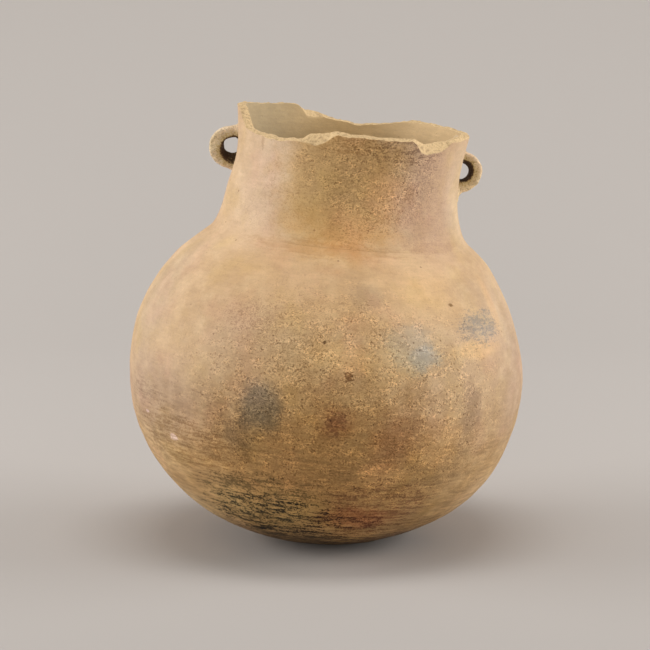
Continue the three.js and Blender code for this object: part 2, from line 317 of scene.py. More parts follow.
# Helpers for the clay. Most of them add shader nodes to a tree and give back the socket that carries
# their result.
def new_node(tree, kind, inputs, **settings):
    made = tree.nodes.new("ShaderNode" + kind)
    for name, value in settings.items():
        setattr(made, name, value)
    for key, value in inputs.items():
        if isinstance(value, bpy.types.NodeSocket):
            tree.links.new(value, made.inputs[key])
        elif value is not None:
            made.inputs[key].default_value = value
    return made


def maths(tree, operation, a, b=None):
    return new_node(tree, "Math", {0: a, 1: b}, operation=operation).outputs[0]


def fade(tree, value, start, end, low=0.0, high=1.0):
    """Turns a value between start and end into a smooth step from low to high."""
    inputs = {"Value": value, "From Min": start, "From Max": end, "To Min": low, "To Max": high}
    return new_node(tree, "MapRange", inputs, interpolation_type="SMOOTHSTEP").outputs["Result"]


def grain(tree, place, scale, detail=3.0, roughness=0.55, stretch=None, shift=(0, 0, 0)):
    """Noise at a scale in features per metre, optionally stretched along the wiping direction."""
    moved = new_node(tree, "Mapping", {"Vector": place, "Location": shift, "Scale": stretch or (1, 1, 1)})
    inputs = {"Vector": moved.outputs[0], "Scale": scale, "Detail": detail, "Roughness": roughness}
    return new_node(tree, "TexNoise", inputs).outputs["Fac"]


def blend(tree, factor, a, b, mode="MIX"):
    made = new_node(tree, "Mix", {0: factor, 6: a, 7: b}, data_type="RGBA", blend_type=mode)
    return made.outputs[2]


def tint(red, green, blue):
    return (red, green, blue, 1.0)


def speckle(tree, place, scale, size, share, shift=(0, 0, 0)):
    """Dots in a share of the cells of a Voronoi pattern: 1 at their middles, 0 between them."""
    moved = new_node(tree, "Mapping", {"Vector": place, "Location": shift})
    cells = new_node(tree, "TexVoronoi", {"Vector": moved.outputs[0], "Scale": scale})
    chance = new_node(tree, "SeparateColor", {0: cells.outputs["Color"]}).outputs[0]
    chosen = maths(tree, "LESS_THAN", chance, share)
    return maths(tree, "MULTIPLY", fade(tree, cells.outputs["Distance"], size, size * 0.35), chosen)


def spot_on_jar(azimuth, height):
    """A point on the outside of the wall, in the jar's own frame."""
    radius, level = outside_at(along_at(height * MM))
    return hand_built(np.array([radius]), np.array([float(azimuth)]), np.array([level]))[0]


# Soot and specks stay broken up in the middle of a mark too, as if no point were nearer to it than this,
# where 1 is its edge. The other patterns only break up the edge.
BROKEN_UP = {"soot": 1.03, "specks": 1.08}

# How deep a mark reaches through the wall for its larger half size, which counts as at least 20 mm
MARK_DEPTH = 1.5
LEAST_REACH = 20


def fire_and_shade_mark(tree, place, mark, edges):
    """How strongly a mark shows at each point: a ragged ellipse on the wall at an azimuth and a height."""
    azimuth, height, across, up, soft, ragged, edge, strength = mark
    inputs = {
        "Vector": place,
        "Location": tuple(spot_on_jar(azimuth, height)),
        "Rotation": (0, 0, math.radians(azimuth)),
        "Scale": (max(across, up, LEAST_REACH) * MARK_DEPTH * MM, across * MM, up * MM),
    }
    moved = new_node(tree, "Mapping", inputs, vector_type="TEXTURE")
    distance = new_node(tree, "VectorMath", {0: moved.outputs[0]}, operation="LENGTH").outputs["Value"]
    if edge in BROKEN_UP:
        distance = maths(tree, "MAXIMUM", distance, BROKEN_UP[edge])
    rough = maths(tree, "MULTIPLY", maths(tree, "SUBTRACT", edges[edge], 0.5), ragged)
    return fade(tree, maths(tree, "ADD", distance, rough), 1 + soft / 2, 1 - soft / 2, 0.0, strength)


# Where the surface is rubbed rough, so that grits and pale grains show: the belly and the neck's front
RUBBED = [
    (278, -8, 92, 62, 0.8, 1.2, "blotch", 1.0),
    (280, 124, 42, 28, 0.9, 1.8, "blotch", 0.85),
]

# Where the wiping marks are left deep: the lower belly and the bowl
WIPED = (262, -72, 150, 62, 0.9, 0.8, "blotch", 1.0)


def waver(tree, pattern, amount, zone=None):
    """A factor that swings about 1 with a pattern, by an amount, over the whole jar or in a zone of it."""
    swing = fade(tree, pattern, 0.3, 0.7, -amount, amount)
    if zone is not None:
        swing = maths(tree, "MULTIPLY", swing, zone)
    return maths(tree, "ADD", swing, 1.0)


def mixture(tree, parts):
    """A weighted sum of patterns."""
    total = None
    for pattern, share in parts:
        part = maths(tree, "MULTIPLY", pattern, share)
        total = part if total is None else maths(tree, "ADD", total, part)
    return total


def near(marks, bottom, top):
    """The marks that reach into the coils between two joints."""
    kept = []
    for mark, shade in marks:
        _, height, _, up, soft, ragged, _, _ = mark
        reach = up * (1 + soft / 2 + ragged / 5)
        if (height + reach) * MM > bottom - LAP and (height - reach) * MM < top + LAP:
            kept.append((mark, shade))
    return kept


def clay_patterns(tree, place):
    """The patterns of the clay, from soft clouds to grit, and the streaks along which it was wiped."""
    return {
        "cloud": grain(tree, place, 22, 4, 0.6),
        "patch": grain(tree, place, 62, 5, 0.62, shift=(3, 1, 0)),
        "mottle": grain(tree, place, 150, 3, 0.6, stretch=(1, 1, 1.8), shift=(6, 0, 2)),
        "fine": grain(tree, place, 420, 4, 0.65, stretch=(1, 1, 1.5)),
        "grit": grain(tree, place, 1100, 2, 0.6, stretch=(1, 1, 1.4), shift=(0, 5, 0)),
        "streak": grain(tree, place, 1, 3, 0.6, stretch=(80, 80, 620)),
        "wipe": grain(tree, place, 1, 3, 0.6, stretch=(28, 28, 230), shift=(0, 0, 4)),
    }


def mark_edges(tree, patterns):
    """The patterns that make the edges of the marks ragged."""
    patch, fine, grit, streak = (patterns[name] for name in ("patch", "fine", "grit", "streak"))
    return {
        "blotch": mixture(tree, [(patch, 0.7), (fine, 0.3)]),
        "streak": mixture(tree, [(streak, 0.6), (fine, 0.4)]),
        "soot": mixture(tree, [(streak, 0.35), (fine, 0.35), (grit, 0.3)]),
        "specks": mixture(tree, [(fine, 0.35), (grit, 0.65)]),
        "fine": fine,
    }


SAND = tint(0.55, 0.375, 0.227)
OCHRE = tint(0.505, 0.335, 0.188)
PALE_SAND = tint(0.56, 0.388, 0.229)
REDDER = tint(1.03, 0.96, 1.02)
YELLOWER = tint(1.0, 1.0, 0.86)


def mottled_clay(tree, place, patterns):
    """Sand and ochre in soft clouds, here a little redder and there a little yellower."""
    colour = blend(tree, fade(tree, patterns["cloud"], 0.35, 0.65), SAND, OCHRE)
    colour = blend(tree, fade(tree, patterns["patch"], 0.42, 0.72), colour, PALE_SAND)
    hue = grain(tree, place, 34, 3, 0.5, shift=(0, 8, 2))
    colour = blend(tree, fade(tree, hue, 0.52, 0.7, 0, 0.6), colour, REDDER, "MULTIPLY")
    return blend(tree, fade(tree, hue, 0.48, 0.3, 0, 0.6), colour, YELLOWER, "MULTIPLY")


def rubbed_zone(tree, place, patterns, edges, least):
    """Where the grits show: in patches over the rubbed parts, and at least a little everywhere."""
    belly, neck_front = (fire_and_shade_mark(tree, place, mark, edges) for mark in RUBBED)
    coarse = maths(tree, "MAXIMUM", belly, neck_front)
    coarse = maths(tree, "MULTIPLY", coarse, fade(tree, patterns["mottle"], 0.36, 0.62, 0.2, 1.35))
    return maths(tree, "MAXIMUM", coarse, least)


def hand_wear(tree, patterns, coarse, wiped):
    """Lighter and darker grains and streaks, as a grey that swings about 1."""
    wear = waver(tree, patterns["fine"], 0.17, coarse)
    for name, amount, zone in (
        ("grit", 0.24, coarse),
        ("mottle", 0.025, None),
        ("mottle", 0.09, wiped),
        ("patch", 0.035, None),
        ("mottle", 0.07, coarse),
        ("wipe", 0.015, None),
        ("wipe", 0.08, wiped),
        ("streak", 0.03, None),
        ("streak", 0.13, wiped),
    ):
        wear = maths(tree, "MULTIPLY", wear, waver(tree, patterns[name], amount, zone))
    return new_node(tree, "CombineXYZ", {0: wear, 1: wear, 2: wear}).outputs[0]


# Colours of the inside, growing lighter from left to right: painted light where light falls in through the
# mouth.
INSIDE_LEFT_UNLIT = tint(0.42, 0.315, 0.18)
INSIDE_MIDDLE_HALF_LIT = tint(0.56, 0.375, 0.175)
INSIDE_RIGHT_LIT = tint(0.68, 0.48, 0.26)
DARK_BREAK = tint(0.44, 0.30, 0.155)
PALE_BREAK = tint(0.64, 0.455, 0.24)
BREAK_GRIT = tint(0.6, 0.52, 0.45)
# The lug holes' colours: partly soot and staining, partly painted shade in the hollow of the hole.
HOLE_STAIN_AND_SHADE = tint(0.36, 0.25, 0.09)
HOLE_SOOT_AND_SHADE = tint(0.085, 0.045, 0.02)


def marked_faces(tree, place, patterns, edges, wear, colour):
    """Puts in the faces that the mesh marks: the inside, with painted light towards its right, the sandy
    break, and the lug holes, darkened partly by soot and partly by painted shade.
    """
    inside = new_node(tree, "Attribute", {}, attribute_name="inside").outputs["Fac"]
    # The inside is painted lighter towards the right, standing in for the light that falls on the far wall.
    across = new_node(tree, "SeparateXYZ", {0: place}).outputs[0]
    inside_painted_light = blend(tree, fade(tree, across, -55 * MM, 0.0), INSIDE_LEFT_UNLIT, INSIDE_MIDDLE_HALF_LIT)
    inside_painted_light = blend(tree, fade(tree, across, 0.0, 50 * MM), inside_painted_light, INSIDE_RIGHT_LIT)
    inside_painted_light = blend(tree, 1.0, inside_painted_light, wear, "MULTIPLY")
    colour = blend(tree, fade(tree, inside, 0.6, 1.0), colour, inside_painted_light)
    broken = new_node(tree, "Attribute", {}, attribute_name="broken").outputs["Fac"]
    sandy = blend(tree, fade(tree, patterns["fine"], 0.34, 0.52), DARK_BREAK, PALE_BREAK)
    sandy = blend(tree, fade(tree, patterns["grit"], 0.52, 0.66, 0, 0.6), sandy, BREAK_GRIT, "MULTIPLY")
    colour = blend(tree, fade(tree, broken, 0.5, 0.9, 0, 0.95), colour, sandy)
    # The lug holes, darkened partly by soot and staining and partly by painted shade.
    hollow = new_node(tree, "Attribute", {}, attribute_name="hollow").outputs["Fac"]
    swing = fade(tree, hollow, 0.05, 0.3, 1.2, 2.4)
    ragged = maths(tree, "MULTIPLY", maths(tree, "SUBTRACT", edges["specks"], 0.5), swing)
    ragged = maths(tree, "ADD", hollow, ragged)
    colour = blend(tree, fade(tree, ragged, 0.02, 0.42, 0, 0.85), colour, HOLE_STAIN_AND_SHADE)
    return blend(tree, fade(tree, ragged, 0.45, 0.85), colour, HOLE_SOOT_AND_SHADE)


CLAY_SHEEN = 0.28
RELIEF = 0.8 * MM
PALE_GRAIN = tint(1.34, 1.32, 1.3)
DARK_GRAIN = tint(0.58, 0.52, 0.46)
PIT = tint(0.5, 0.43, 0.38)


def fired_clay(name, marks, rubbing=0.16):
    """Hand-smoothed, low-fired buff clay with the marks that the fire left on it; some marks, the inside
    and the lug holes also carry painted light and shade.
    """
    clay = bpy.data.materials.new(name)
    clay.use_nodes = True
    tree = clay.node_tree
    shader = tree.nodes["Principled BSDF"]
    shader.inputs["Specular IOR Level"].default_value = CLAY_SHEEN
    coordinates = tree.nodes.new("ShaderNodeTexCoord").outputs["Object"]
    inputs = {"Vector": coordinates, "Location": tuple(foot), "Rotation": (0, LEAN, 0)}
    place = new_node(tree, "Mapping", inputs, vector_type="TEXTURE").outputs[0]
    patterns = clay_patterns(tree, place)
    edges = mark_edges(tree, patterns)

    colour = mottled_clay(tree, place, patterns)
    for mark, shade in marks:
        colour = blend(tree, fire_and_shade_mark(tree, place, mark, edges), colour, tint(*shade), "MULTIPLY")
    coarse = rubbed_zone(tree, place, patterns, edges, rubbing)
    wiped = fire_and_shade_mark(tree, place, WIPED, edges)
    wear = hand_wear(tree, patterns, coarse, wiped)
    colour = blend(tree, 1.0, colour, wear, "MULTIPLY")

    pale_grains = fade(tree, grain(tree, place, 620, 2, 0.5, shift=(4, 4, 0)), 0.55, 0.66, 0, 0.6)
    dark_grains = fade(tree, grain(tree, place, 900, 2, 0.5, shift=(1, 7, 3)), 0.56, 0.66, 0, 0.9)
    grits = speckle(tree, place, 380, 0.28, 0.25)
    pits = speckle(tree, place, 130, 0.12, 0.3, shift=(2, 0, 1))
    for spots, zone, shade in (
        (pale_grains, coarse, PALE_GRAIN),
        (dark_grains, coarse, DARK_GRAIN),
        (grits, coarse, PIT),
        (pits, 0.7, PIT),
    ):
        colour = blend(tree, maths(tree, "MULTIPLY", spots, zone), colour, shade, "MULTIPLY")
    colour = marked_faces(tree, place, patterns, edges, wear, colour)
    tree.links.new(colour, shader.inputs["Base Color"])
    tree.links.new(fade(tree, patterns["fine"], 0.2, 0.8, 0.78, 0.95), shader.inputs["Roughness"])

    rises = {"fine": 0.2, "grit": 0.08, "mottle": 0.2, "wipe": 0.22, "streak": 0.1, "patch": 0.35}
    relief = mixture(tree, [(patterns[key], share) for key, share in rises.items()])
    relief = maths(tree, "SUBTRACT", relief, maths(tree, "MULTIPLY", pits, 0.35))
    fallen_out = maths(tree, "MULTIPLY", dark_grains, coarse)
    relief = maths(tree, "SUBTRACT", relief, maths(tree, "MULTIPLY", fallen_out, 0.15))
    bump = new_node(tree, "Bump", {"Strength": 0.8, "Distance": RELIEF, "Height": relief})
    tree.links.new(bump.outputs[0], shader.inputs["Normal"])
    return clay


# Marks that the fire and the hearth left, and some of painted shade, each said where it stands: (azimuth,
# height, half width, half height, softness, how ragged, edge pattern, strength), then the tint that they
# give the clay.
BOWL_MARKS = [
    # The first two marks darken the lower front: partly its browner clay, partly painted shade of the
    # underside.
    ((272, -62, 150, 62, 1.1, 0.8, "blotch", 1.0), (0.82, 0.75, 0.57)),
    ((268, -45, 62, 58, 1.2, 0.8, "blotch", 1.0), (0.90, 0.81, 0.65)),
    ((252, -72, 36, 15, 0.9, 1.6, "blotch", 0.9), (1.09, 1.18, 1.14)),
    ((285, -73, 22, 8, 0.9, 2.4, "streak", 0.9), (1.02, 0.78, 0.78)),
    ((291, -62, 26, 12, 0.5, 6.0, "soot", 0.8), (0.62, 0.50, 0.53)),
    ((283, -80, 22, 8, 0.5, 6.0, "soot", 0.8), (0.50, 0.40, 0.40)),
    ((250, -63, 31, 10, 0.4, 6.0, "soot", 0.9), (0.46, 0.48, 0.46)),
    ((254, -77, 33, 12, 0.4, 6.0, "soot", 1.0), (0.27, 0.29, 0.31)),
    ((257, -70, 11, 8, 0.5, 4.0, "soot", 0.95), (0.48, 0.52, 0.64)),
    ((241, -84, 20, 8, 0.5, 6.0, "soot", 0.9), (0.44, 0.44, 0.44)),
    ((262, -94, 30, 8, 0.7, 4.0, "soot", 1.0), (0.30, 0.32, 0.36)),
    ((300, -84, 40, 10, 0.5, 5.0, "soot", 0.6), (0.62, 0.56, 0.52)),
    # Painted shadow: the next two marks darken the bottom edge where the bowl meets the floor, at the front
    # and on the right.
    ((272, -103, 110, 13, 0.8, 1.5, "streak", 1.0), (0.62, 0.62, 0.64)),
    ((324, -97, 34, 13, 0.8, 2.0, "streak", 0.9), (0.56, 0.55, 0.60)),
    ((289, -91, 18, 8, 0.7, 3.5, "streak", 0.8), (1.34, 1.3, 1.2)),
    ((342, -62, 22, 18, 0.9, 1.0, "blotch", 0.9), (1.20, 1.24, 1.36)),
    ((208, -48, 20, 14, 0.9, 1.2, "blotch", 0.9), (1.12, 1.17, 1.22)),
    ((216, -84, 22, 10, 0.9, 1.2, "blotch", 0.9), (1.12, 1.20, 1.30)),
]

sooted_clay = fired_clay("sooted_clay", BOWL_MARKS)
bowl_top = along_at(BOWL_JOINT + LAP / 2)
bowl_rows = even_rows(0.0, bowl_top, 0.0, 1.3 * MM)
bowl_rows += even_rows(along_at(BOWL_JOINT - LAP / 2), 0.0, 1.0, 3 * MM)
worn_bowl = spun_wall("worn_bowl", bowl_rows, as_spun)
worn_bowl.data.materials.append(sooted_clay)
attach(worn_bowl, "root")
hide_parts("base_bowl")


# The belly: two broad coils of the same clay, paddled and smoothed with wet hands over the joints. The
# fire has clouded it with soft grey and brown spots.
# The bowl's marks come first, with their painted shade on the lower front.
BELLY_MARKS = BOWL_MARKS + [
    ((272, 14, 46, 36, 1.2, 0.8, "blotch", 1.0), (1.09, 1.06, 0.92)),
    ((212, -18, 46, 24, 1.1, 1.0, "blotch", 1.0), (0.86, 0.88, 1.02)),
    ((200, 40, 22, 34, 1.1, 0.8, "blotch", 1.0), (0.90, 0.94, 1.0)),
    ((208, -15, 16, 6, 0.6, 5.0, "soot", 0.8), (0.72, 0.68, 0.66)),
    ((224, -38, 36, 13, 0.5, 6.0, "soot", 0.8), (0.76, 0.68, 0.58)),
    ((340, 6, 26, 32, 1.1, 0.8, "blotch", 1.0), (0.90, 0.91, 1.02)),
    ((252, -7, 12, 14, 0.9, 1.8, "blotch", 1.0), (0.60, 0.70, 0.90)),
    ((251, -6, 12, 11, 1.0, 6.0, "specks", 0.8), (0.83, 0.85, 0.88)),
    ((246, -26, 10, 12, 1.0, 1.6, "blotch", 0.9), (0.76, 0.79, 0.88)),
    ((273, -12, 11, 9, 1.2, 1.6, "blotch", 0.9), (0.86, 0.76, 0.74)),
    ((273, -12, 6, 6, 0.8, 4.0, "fine", 0.9), (0.62, 0.52, 0.56)),
    ((315.5, -4, 9, 12, 0.8, 1.6, "blotch", 0.9), (0.78, 0.77, 0.82)),
    ((315, 16, 8, 8, 0.9, 2.0, "specks", 0.6), (0.93, 0.93, 0.95)),
    ((290, -21, 12, 15, 1.2, 1.4, "blotch", 0.9), (0.84, 0.72, 0.70)),
    ((304, -20, 15, 15, 1.0, 1.0, "blotch", 0.9), (1.20, 1.15, 1.15)),
    ((294, 32, 16, 12, 0.8, 3.0, "blotch", 0.95), (0.90, 1.02, 1.20)),
    ((298, 28, 9, 6, 0.8, 3.5, "blotch", 0.8), (0.82, 0.95, 1.16)),
    ((287, 20, 14, 10, 1.0, 1.6, "blotch", 0.8), (1.12, 1.14, 1.12)),
    ((289, -43, 15, 8, 0.6, 2.0, "blotch", 0.9), (1.26, 1.26, 1.28)),
    ((262, 24, 12, 9, 1.0, 6.0, "specks", 0.9), (0.85, 0.85, 0.81)),
    ((286, 4, 26, 12, 1.0, 6.0, "specks", 0.6), (0.84, 0.82, 0.81)),
    ((272, 25, 17, 9, 0.7, 2.5, "blotch", 0.9), (1.15, 1.13, 1.05)),
    ((296, 6, 22, 14, 1.0, 2.0, "blotch", 0.8), (1.08, 1.08, 1.12)),
    ((268, -22, 40, 26, 1.0, 6.0, "specks", 0.9), (0.85, 0.82, 0.79)),
    ((306, -30, 30, 16, 1.0, 6.0, "specks", 0.8), (0.85, 0.82, 0.79)),
    ((275.5, 16, 2.4, 3.4, 0.4, 5.0, "fine", 1.0), (0.52, 0.44, 0.38)),
    ((221, -37, 3.2, 1.8, 0.5, 2.5, "fine", 1.0), (1.65, 1.85, 2.9)),
    ((208, -27, 2.0, 0.9, 0.5, 2.5, "fine", 1.0), (1.5, 1.6, 2.2)),
]
LOWER_BELLY_JOINT = -24 * MM
BELLY_JOINT = 14 * MM

belly_clay = fired_clay("belly_clay", near(BELLY_MARKS, BOWL_JOINT, BELLY_JOINT))
lower_belly = spun_wall("lower_belly", coil_rows(BOWL_JOINT, LOWER_BELLY_JOINT), as_spun)
upper_belly = spun_wall("upper_belly", coil_rows(LOWER_BELLY_JOINT, BELLY_JOINT), as_spun)
for coil, node in ((lower_belly, "lower_belly_wall"), (upper_belly, "upper_belly_wall")):
    coil.data.materials.append(belly_clay)
    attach(coil, "root")
    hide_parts(node)


# The shoulder: two more coils, drawn in to the root of the neck. It is the palest of the clay, with a
# ragged blue-grey cloud and a dent on its right.
SHOULDER_JOINT = 48 * MM
ROOT_MARKS = [
    ((270, 66, 62, 26, 1.2, 0.8, "blotch", 1.0), (1.12, 1.07, 0.98)),
    ((226, 116, 38, 40, 1.0, 0.8, "blotch", 1.0), (1.08, 1.13, 1.24)),
    ((267, 118, 36, 40, 0.7, 1.2, "blotch", 1.0), (1.07, 0.98, 0.72)),
    ((267, 94, 32, 12, 0.9, 1.4, "blotch", 1.0), (1.14, 1.1, 1.1)),
    ((316, 113, 24, 36, 0.9, 1.0, "blotch", 1.0), (0.95, 0.92, 0.98)),
    ((346, 115, 20, 32, 0.9, 0.8, "blotch", 1.0), (1.1, 1.16, 1.22)),
    ((264, 81, 44, 4, 0.8, 3.0, "streak", 0.8), (0.86, 0.80, 0.72)),
    ((318, 84, 22, 3, 0.8, 3.0, "streak", 0.6), (0.88, 0.84, 0.84)),
]
SHOULDER_MARKS = BELLY_MARKS + ROOT_MARKS + [
    ((342, 44, 16, 22, 1.0, 0.8, "blotch", 0.8), (0.92, 0.95, 1.04)),
    ((321, 43, 14, 7, 0.8, 3.0, "blotch", 0.8), (0.84, 0.92, 1.06)),
    ((326, 39, 8, 5, 0.6, 4.0, "fine", 0.5), (0.76, 0.84, 0.98)),
    ((322, 42, 16, 8, 0.4, 6.0, "soot", 0.9), (0.66, 0.74, 0.88)),
    ((318, 30, 20, 5, 0.8, 2.5, "blotch", 0.9), (1.18, 1.14, 1.0)),
    ((306, 58, 26, 14, 1.0, 1.2, "blotch", 0.8), (1.07, 1.05, 0.97)),
    ((322, 60, 15, 9, 0.8, 2.0, "blotch", 0.9), (0.91, 0.92, 0.97)),
    ((334, 52, 5, 15, 1.0, 1.5, "blotch", 0.9), (1.12, 1.08, 1.0)),
    ((281, 59, 9, 7, 0.9, 1.6, "blotch", 0.8), (0.84, 0.86, 0.90)),
    ((311, 55, 1.6, 0.9, 0.6, 1.5, "fine", 1.0), (0.45, 0.38, 0.30)),
    ((268, 33, 0.9, 0.9, 0.6, 1.0, "fine", 1.0), (0.40, 0.34, 0.30)),
    ((262, 40, 34, 12, 1.0, 6.0, "specks", 0.9), (0.88, 0.85, 0.82)),
    ((246, 41, 14, 6, 1.0, 6.0, "specks", 0.9), (0.85, 0.82, 0.81)),
]

shoulder_clay = fired_clay("shoulder_clay", near(SHOULDER_MARKS, BELLY_JOINT, ROOT_HEIGHT))
lower_shoulder = spun_wall("lower_shoulder", coil_rows(BELLY_JOINT, SHOULDER_JOINT), as_spun)
upper_shoulder = spun_wall("upper_shoulder", coil_rows(SHOULDER_JOINT, ROOT_HEIGHT), as_spun)
for coil, node in ((lower_shoulder, "lower_shoulder_wall"), (upper_shoulder, "upper_shoulder_wall")):
    coil.data.materials.append(shoulder_clay)
    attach(coil, "root")
    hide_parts(node)


# The neck: a coil of the same clay, turned up from the shoulder and wiped round its root with wet
# fingers. Its front is darkened and rubbed until the grits show.
COLLAR_RISE = 24 * MM
COLLAR_JOINT = ROOT_HEIGHT + COLLAR_RISE
NECK_MARKS = ROOT_MARKS + [
    ((268, 122, 32, 30, 1.0, 3.0, "specks", 0.9), (0.88, 0.86, 0.81)),
    ((275, 118, 12, 24, 1.0, 6.0, "specks", 0.9), (0.83, 0.80, 0.77)),
    ((254, 120, 14, 24, 1.0, 2.0, "blotch", 0.9), (0.93, 0.92, 0.87)),
    ((298, 140, 18, 7, 0.5, 6.0, "soot", 0.8), (0.62, 0.58, 0.58)),
    ((303, 124, 12, 16, 1.0, 6.0, "specks", 0.9), (0.82, 0.80, 0.81)),
    ((290, 100, 8, 6, 1.0, 6.0, "specks", 0.9), (0.85, 0.82, 0.80)),
    ((266, 143, 16, 6, 0.5, 6.0, "soot", 0.7), (0.84, 0.77, 0.67)),
    ((289, 114, 12, 12, 0.8, 1.2, "blotch", 0.9), (1.14, 1.08, 1.16)),
    ((252, 94, 20, 12, 0.9, 1.6, "blotch", 0.9), (0.84, 0.84, 0.76)),
    ((231, 127, 14, 15, 0.35, 0.8, "blotch", 0.5), (1.08, 1.12, 1.2)),
    ((230, 101, 18, 10, 1.0, 6.0, "specks", 0.9), (0.92, 0.90, 0.90)),
    ((238, 123, 12, 12, 1.0, 6.0, "specks", 0.8), (0.93, 0.91, 0.90)),
    ((314, 105, 14, 24, 1.0, 6.0, "specks", 0.9), (0.89, 0.87, 0.88)),
    ((220, 137, 1.3, 4.5, 0.8, 5.0, "fine", 0.6), (0.70, 0.64, 0.60)),
    ((334, 100, 8, 7, 0.8, 1.4, "blotch", 0.7), (0.93, 0.94, 0.96)),
]

neck_clay = fired_clay("neck_clay", NECK_MARKS)
neck = spun_wall("neck", coil_rows(ROOT_HEIGHT, COLLAR_JOINT, 0.9 * MM), as_spun)
neck.data.materials.append(neck_clay)
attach(neck, "root")
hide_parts("neck_wall")


# The collar: the last coil. Its lip has broken away all round, higher on the left, with chips off the
# outer edge at the front that show the sandy inside of the wall.
WHOLE_LIP = 22 * MM
BREAK_ROWS = 9
COARSE_NIBBLE = 0.7 * MM
FINE_NIBBLE = 0.35 * MM
BREAK_ROUGHNESS = 0.9 * MM
BREAK_BULGE = 0.5 * MM

# The grain of the break: the scale of its noise round the jar and across the wall
GRAIN_ROUND = 70
GRAIN_ACROSS = 5

# How broken the material takes the last row of each face to be, where the wall itself is 0 and the break 1
BROKEN_EDGE = 0.6

# How high the wall's edges still stand above the throat, in mm: azimuth, outside, inside
LIP_EDGE = [
    (0, 21.8, 22), (20, 22.6, 22), (45, 23.4, 22.4), (57, 24.2, 22.4), (66, 21.7, 20.2), (75, 19.6, 18.2),
    (88, 18.4, 17), (98, 19.9, 18.4), (107, 23.3, 20), (116, 25, 19.7), (119, 26.5, 24), (122, 28, 27),
    (132, 27.4, 27.2), (150, 27.1, 26.9), (178, 29.2, 28.4), (192, 28.6, 27.2), (202, 17.4, 16.4),
    (212, 15.2, 15.2), (223, 13.6, 15.2), (227, 13.9, 14.3), (232, 13.4, 14.2), (237, 14.2, 15),
    (240, 14.4, 15), (243, 14.4, 15.9), (245, 14.6, 17.9), (248, 14, 18.7), (251, 12.6, 19),
    (254, 14.2, 19.7), (257, 16, 20.4), (259, 18, 21.5), (262, 21, 21.8), (268, 20.4, 20.8),
    (282, 20.2, 20.5), (299, 20.2, 20.6), (302, 18, 20.6), (305, 14.4, 19.8), (309, 12.3, 18),
    (315, 13.2, 18.3), (319, 14.6, 19.1), (323, 17, 19.6), (326, 19.6, 19.9), (333, 20.2, 20.6),
    (341, 20.8, 21.4),
]


def lip_height(azimuth, side):
    """The height that the broken lip still has at each azimuth, with the small steps of the fracture."""
    first = LIP_EDGE[0]
    last = LIP_EDGE[-1]
    edge = [(last[0] - 360, *last[1:])] + LIP_EDGE + [(first[0] + 360, *first[1:])]
    height = np.interp(azimuth, [point[0] for point in edge], [point[side] for point in edge])
    nibble = np.empty(len(azimuth))
    for i, angle in enumerate(np.radians(azimuth).tolist()):
        x = math.cos(angle)
        y = math.sin(angle)
        coarse = noise.noise(Vector((x * 9, y * 9, side * 1.7)))
        fine = noise.noise(Vector((x * 30, y * 30, side * 3.1)))
        nibble[i] = COARSE_NIBBLE * coarse + FINE_NIBBLE * fine
    return THROAT_HEIGHT + height * MM + nibble


def collar_rows():
    """The outline of the collar as if its lip were whole and level, with rows across the break."""
    bottom = along_at(COLLAR_JOINT + LAP / 2)
    top = along_at(THROAT_HEIGHT + WHOLE_LIP)
    rows = even_rows(bottom, top, 0.0, 0.85 * MM)
    rows += [(top, depth, 1.0) for depth in np.linspace(0, 1, BREAK_ROWS + 2)[1:-1]]
    rows += even_rows(top, along_at(COLLAR_JOINT - LAP / 2), 1.0, 1.3 * MM)
    return rows


def up_to_break(row, azimuth, rows):
    """Stretches both faces of the collar up to where the lip is broken, and roughens the break."""
    along, depth, broken = (rows[row, i].copy() for i in range(3))
    outer = along_at(lip_height(azimuth, 1))
    inner = along_at(lip_height(azimuth, 2))
    top = rows[:, 0].max()
    for face, lip in ((0.0, outer), (1.0, inner)):
        on_face = (broken < 0.5) & (depth == face)
        bottom = rows[(rows[:, 2] < 0.5) & (rows[:, 1] == face), 0].min()
        share = (along - bottom) / (top - bottom)
        along = np.where(on_face, bottom + share * (lip - bottom), along)
        broken = np.where(on_face & (share > 0.999), BROKEN_EDGE, broken)
    crown = outer + (inner - outer) * depth
    rough = np.zeros(len(row))
    angles = np.radians(azimuth)
    for i in np.nonzero(broken > 0.9)[0].tolist():
        x = math.cos(angles[i]) * GRAIN_ROUND
        y = math.sin(angles[i]) * GRAIN_ROUND
        spot = Vector((x, y, depth[i] * GRAIN_ACROSS))
        rough[i] = 0.55 * noise.noise(spot * 0.35) + 0.6 * noise.noise(spot * 1.1)
    bulge = np.sin(np.clip(depth, 0, 1) * np.pi)
    along = np.where(broken > 0.9, crown + (rough * BREAK_ROUGHNESS + BREAK_BULGE) * bulge, along)
    return along, depth, broken


broken_collar = spun_wall("broken_collar", collar_rows(), up_to_break)
broken_collar.data.materials.append(neck_clay)
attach(broken_collar, "root")
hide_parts("lip_collar")


# The two lugs: small ears of clay luted on the collar and smoothed down with a finger, then pierced from
# the side with a tapered stick.
LUG_WIDTH = 14 * MM
LUG_ROUNDING = 3.6 * MM
LUG_SINK = 3.4 * MM
EAR_TURN = math.radians(75)
FOOT_EASE = 0.4 * MM
SLAB_VOXEL = 0.7 * MM
PIERCED_VOXEL = 0.45 * MM
FINGER_LUMP = 0.6 * MM

# The clay smeared out under each foot: its half thickness and how deep its middle is sunk, then its half
# length and its middle as shares of the ear's span, and its half width as a share of the ear's width
SMEAR_THICKNESS = 2.6 * MM
SMEAR_SINK = 0.9 * MM
SMEAR_LENGTH = 0.22
SMEAR_MIDDLE = 0.36
SMEAR_WIDTH = 0.62

# The soot and painted shade of the hole fade out over its edge, and a weaker ring of staining and painted
# shade reaches further over the face
SOOT_AND_SHADE_EDGE = 1.6 * MM
STAIN_AND_SHADE_REACH = 4.4 * MM
STAIN_AND_SHADE_STRENGTH = 0.42


